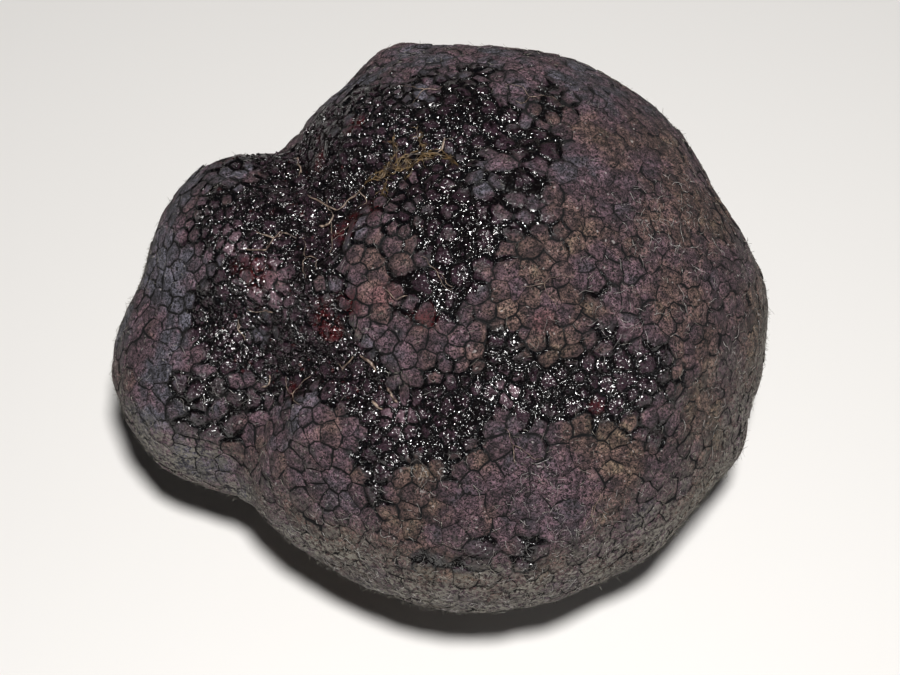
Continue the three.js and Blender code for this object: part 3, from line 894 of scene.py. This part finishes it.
def skinMaterial(name, refraction):
    look, scale = skinLook, skinScale
    material, graph, shader = startMaterial(name)
    plus, minus, times, span, mix = graph.plus, graph.minus, graph.times, graph.span, graph.mix
    place = objectPlace(graph)
    groove, rim, tone, hue, damp, near, flesh, pale, bare, side, warm = map(graph.mark, skinMarks)
    patches, grain, glintDots = mottled(graph, place, scale["patches"])
    middling = graph.noise(place, scale["middling"], 3.0, 0.6)
    beads = graph.noise(place, scale["beads"], 2.0, 0.5)
    # fine secondary cracks: edges of a cell pattern, bent by noise
    wave = graph.vector("MULTIPLY", graph.noise(place, scale["bend"], output="Color"), (bendReach,) * 3)
    bent = graph.vector("ADD", place, wave)
    inputs = {"Vector": bent, "Scale": scale["hairlines"]}
    cells = graph.add("TexVoronoi", inputs, feature="DISTANCE_TO_EDGE").outputs
    hairline = times(span(cells["Distance"], 0.0, 0.075, 1.0, 0.0), span(middling, 0.42, 0.62, 0.0, 0.75))
    inputs = {"Vector": bent, "Scale": scale["facets"]}
    facet = graph.add("Group", inputs, node_tree=facets).outputs["Height"]
    # plates: each leans to its own hue, cooler to the back left and warmer to the front right
    hueHere = plus(times(hue, 0.22), times(patches, 0.45), times(warm, 0.32))
    hueHere = plus(hueHere, times(minus(middling, 0.5), 0.7))
    dry = mix(span(hueHere, 0.1, 0.5), look["slate"], look["plum"])
    dry = mix(span(hueHere, 0.45, 0.85), dry, look["redBrown"])
    dry = mix(span(hueHere, 0.78, 1.05, 0.0, 0.8), dry, look["tan"])
    dry = mix(times(bare, 0.6), dry, look["bare"])
    # light and dark: a little by plate, more by fine grain and pits, lighter toward the back left, and darker
    # toward each plate's rim, a painted shade next to the cracks
    bright = times(span(tone, 0, 1, 0.75, 1.2), span(grain, 0.4, 0.61, 0.02, 2.2))
    bright = times(bright, span(middling, 0.36, 0.6, 0.5, 1.35), span(warm, 0, 1, 1.22, 1))
    # painted shade: plates darker toward their rims, beside the cracks
    edge = times(rim, span(middling, 0.4, 0.6, 0.2, 0.0))
    bright = times(bright, plus(1.0, times(pale, 0.6)), minus(1.0, edge))
    grey = graph.add("CombineColor", {k: bright for k in ("Red", "Green", "Blue")}).outputs[0]
    dry = mix(1.0, dry, grey, "MULTIPLY")
    # steep sides are fuzzed over with grey-green
    fuzz = times(side, span(graph.noise(place, scale["fuzz"], 2.0, 0.7), 0.43, 0.58, 0.0, 0.9))
    fuzz = times(fuzz, span(graph.noise(place, scale["fuzzPatches"], 2.0, 0.6), 0.4, 0.6, 0.5, 1.05))
    # painted shade: steep sides and the underside a fifth of the way to near-black
    dry = mix(times(side, 0.2), dry, look["shadeBlack"])
    dry = mix(fuzz, dry, look["fuzz"])
    # painted glints: a few tiny light-grey dots on the dry plates
    dry = mix(times(glintDots, 0.6), dry, look["paintedGlint"])
    # damp runs along the cracks first, then over the plates
    wet = plus(times(damp, 0.9), times(near, rim, 0.55), minus(middling, 0.5), times(minus(grain, 0.5), 0.5))
    wet = times(span(wet, 0.25, 0.65), span(near, 0.03, 0.2))
    # damp plates: purplish tops, partly a painted sheen, pale in a few spots, and black toward their rims,
    # partly the wet skin's own dark and partly painted shade
    wetTopSheen = plus(times(minus(1.0, rim), 0.9), times(minus(beads, 0.5), 3.0), times(minus(tone, 0.5), 0.8))
    wetTopSheen = span(plus(wetTopSheen, times(pale, 0.6)), 0.45, 1.15)
    topColour = mix(times(pale, 0.85), look["dampTopSheen"], look["paleTop"])
    wetColour = mix(times(wetTopSheen, span(grain, 0.36, 0.62, 0.25, 1.0)), look["dampDark"], topColour)
    colour = mix(wet, dry, wetColour)
    colour = mix(times(flesh, span(grain, 0.42, 0.6, 0.05, 0.7)), colour, look["flesh"])
    # painted shade: the cracks and the hairlines drawn near-black, ragged by the grain, but few on bare scars
    ragged = times(minus(grain, 0.5), times(rim, 0.55))
    shadedLines = span(plus(times(groove, span(middling, 0.36, 0.6, 1.7, 0.4)), ragged), 0.09, 0.22)
    shadedLines = graph.math("MAXIMUM", shadedLines, times(hairline, 0.7))
    shadedLines = times(shadedLines, minus(1.0, times(bare, 0.8)))
    graph.feed(shader["Base Color"], mix(shadedLines, colour, look["shadeBlack"]))
    # gloss where it is damp, and on a few grains elsewhere
    dryRough = span(middling, 0.56, 0.68, look["dryRoughness"], 0.4)
    rough = graph.blendNumbers(wet, dryRough, graph.blendNumbers(wetTopSheen, *look["dampRoughness"]))
    graph.feed(shader["Roughness"], graph.blendNumbers(times(shadedLines, minus(1.0, wet)), rough, 1.0))
    for kind, value in zip(("Weight", "Roughness", "Tint"), look["sheen"]):
        shader["Sheen " + kind].default_value = value
    shader["IOR"].default_value = refraction
    # relief finer than the mesh: grain and pits where dry, beads, facets and creases where damp
    dryHeight = plus(minus(plus(grain, times(middling, 0.6)), times(hairline, 0.25)), times(facet, 1.2))
    crinkle = graph.math("ABSOLUTE", minus(graph.noise(bent, scale["crinkle"], 1.0, 0.5), 0.5))
    dampHeight = plus(times(beads, 1.5), times(facet, 5.5), times(crinkle, 3.4))
    addBump(graph, shader, look["bumpDepth"], graph.blendNumbers(wet, dryHeight, dampHeight))
    return material


grainLook = {"patchScale": 420.0, "roughness": (0.16, 0.26), "refraction": 1.75, "bumpDepth": 0.00004}


def grainMaterial():
    look = grainLook
    material, graph, shader = startMaterial("wetGrain")
    patches, grain, _ = mottled(graph, objectPlace(graph), look["patchScale"])
    pale = graph.times(graph.math("POWER", graph.mark("tone"), 2.6), graph.span(grain, 0.4, 0.6, 0.3, 1.0))
    colour = graph.mix(pale, skinLook["dampDark"], skinLook["grainTop"])
    red = graph.times(graph.mark("flesh"), graph.span(patches, 0.1, 0.9, 0.2, 0.8))
    graph.feed(shader["Base Color"], graph.mix(red, colour, skinLook["flesh"]))
    graph.feed(shader["Roughness"], graph.span(grain, 0.35, 0.65, *look["roughness"]))
    shader["IOR"].default_value = look["refraction"]
    addBump(graph, shader, look["bumpDepth"], grain)
    return material


fibreLook = {  # pale colour, deep colour, least roughness
    "rootBark": (linear(126, 103, 70), linear(32, 22, 15), 0.22),
    "paleFibre": (linear(176, 156, 140), linear(64, 50, 44), 0.25),
    "mouldFibre": (linear(226, 224, 220), linear(120, 114, 110), 0.35),
    "feltFibre": (linear(176, 172, 162), linear(100, 96, 88), 0.6),
}
fibreScale = 1700.0
fibreBumpDepth = 0.00003


def fibreMaterial(name):
    pale, deep, roughness = fibreLook[name]
    material, graph, shader = startMaterial(name)
    patches, grain, _ = mottled(graph, objectPlace(graph), fibreScale)
    paleness = graph.times(patches, graph.span(grain, 0.36, 0.55, 0.2, 1.0))
    graph.feed(shader["Base Color"], graph.mix(paleness, deep, pale))
    graph.feed(shader["Roughness"], graph.plus(graph.times(grain, 0.25), roughness))
    addBump(graph, shader, fibreBumpDepth, grain)
    return material


# The skin first: it settles where the lump's middle lies in the frame.
skinPoints, skinFaces, skinMarks = skinSurface()
low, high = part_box("truffle")
middleOfNode = (np.array(low) + np.array(high)) * 500
middleOfSkin = (skinPoints.min(0) + skinPoints.max(0)) / 2
lumpMiddle = np.append((middleOfNode - middleOfSkin)[:2], low[2] * 1000 + lump["restDepth"])
rinds = [skinMaterial(kind + "Rind", skinLook[kind + "Refraction"]) for kind in ("dry", "wet")]
skin = newPiece("truffleSkin", skinPoints, skinFaces, skinMarks, rinds, wetter=skinMarks["damp"])
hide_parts("truffle")

grainPoints, grainFaces, grainMarks = wetGrains()
clearOfFloor = 0.02  # mm
grainPoints[:, 2] = np.maximum(grainPoints[:, 2], clearOfFloor - lump["restDepth"])
newPiece("wetGrains", grainPoints, [grainFaces], grainMarks, [grainMaterial()], smooth=False)


def fibrePiece(name, bundles, material):
    points, faces, first = [], [], 0
    for paths, radii, sides in bundles:
        here, found = tubes(paths, radii, sides)
        points.append(here)
        faces += [f + first for f in found]
        first += len(here)
    cleared = np.concatenate(points)
    cleared[:, 2] = np.maximum(cleared[:, 2], clearOfFloor - lump["restDepth"])
    newPiece(name, cleared, faces, {}, [material])


rootDraw = np.random.default_rng(threads["seed"])
ochreRoots, paleRoots = (
    rootThreads(threads[kind], *threads["bundles"][kind], rootDraw) for kind in ("ochre", "pale")
)
fibrePiece("rootThreads", ochreRoots, fibreMaterial("rootBark"))
fibrePiece("paleThreads", paleRoots + paleStrands(), fibreMaterial("paleFibre"))
fibrePiece("mouldHairs", mouldHairs(), fibreMaterial("mouldFibre"))
fibrePiece("shortFelt", shortFelt(), fibreMaterial("feltFibre"))

studio = {  # metres and watts
    "floorSize": 2.0,
    "floorColour": linear(238, 237, 235),
    "floorRoughness": 0.55,
    "keyDistance": 0.25,
    "keyOffset": (0.012, 0.055),  # to the right of the lens and above it
    "keySize": 0.03,
    "keyPower": 0.84,
    "keyColour": (1, 0.98, 0.96),
    "fillPlace": (0.34, -0.06, 0.26),  # from the point that the camera aims at
    "fillSize": 0.2,
    "fillPower": 0.05,
    "fillColour": (0.93, 0.96, 1.0),
    "worldColour": (0.9, 0.93, 1.0, 1),
    "worldStrength": 0.009,
}
view = {
    "elevation": 60,
    "lens": 85,
    "sensor": 36,
    "distance": 0.1768,
    "aimOffset": (-0.02, -0.44, 0.0),  # mm from the middle of the lump
}


def setStudio():
    half = studio["floorSize"] / 2
    mesh = bpy.data.meshes.new("floor")
    corners = [(-half, -half, 0), (half, -half, 0), (half, half, 0), (-half, half, 0)]
    mesh.from_pydata(corners, [], [(0, 1, 2, 3)])
    floor = bpy.data.objects.new("floor", mesh)
    bpy.context.scene.collection.objects.link(floor)
    material, _, shader = startMaterial("paleFloor")
    shader["Base Color"].default_value = studio["floorColour"]
    shader["Roughness"].default_value = studio["floorRoughness"]
    mesh.materials.append(material)

    e = math.radians(view["elevation"])
    aim = Vector((lumpMiddle + view["aimOffset"]) * 0.001)
    back = Vector((0, -math.cos(e), math.sin(e)))
    right, up = Vector((1, 0, 0)), Vector((0, math.sin(e), math.cos(e)))
    camera = bpy.data.objects.new("camera", bpy.data.cameras.new("camera"))
    bpy.context.scene.collection.objects.link(camera)
    camera.data.lens = view["lens"]
    camera.data.sensor_width = view["sensor"]
    camera.data.clip_start, camera.data.clip_end = 0.01, 10
    camera.location = aim + back * view["distance"]
    camera.rotation_euler = back.to_track_quat("Z", "Y").to_euler()
    bpy.context.scene.camera = camera

    def addLight(name, place):
        light = bpy.data.lights.new(name, "AREA")
        light.shape = "DISK"
        light.size, light.energy, light.color = (studio[name + what] for what in ("Size", "Power", "Colour"))
        lamp = bpy.data.objects.new(name, light)
        bpy.context.scene.collection.objects.link(lamp)
        lamp.location = place
        lamp.rotation_euler = (place - aim).to_track_quat("Z", "Y").to_euler()

    sideways, above = studio["keyOffset"]
    addLight("key", aim + back * studio["keyDistance"] + right * sideways + up * above)
    addLight("fill", aim + Vector(studio["fillPlace"]))
    world = bpy.data.worlds.new("studio")
    world.use_nodes = True
    background = world.node_tree.nodes["Background"].inputs
    background["Color"].default_value = studio["worldColour"]
    background["Strength"].default_value = studio["worldStrength"]
    bpy.context.scene.world = world
    bpy.context.scene.view_settings.view_transform = "Standard"


setStudio()
print("stage: studio set")
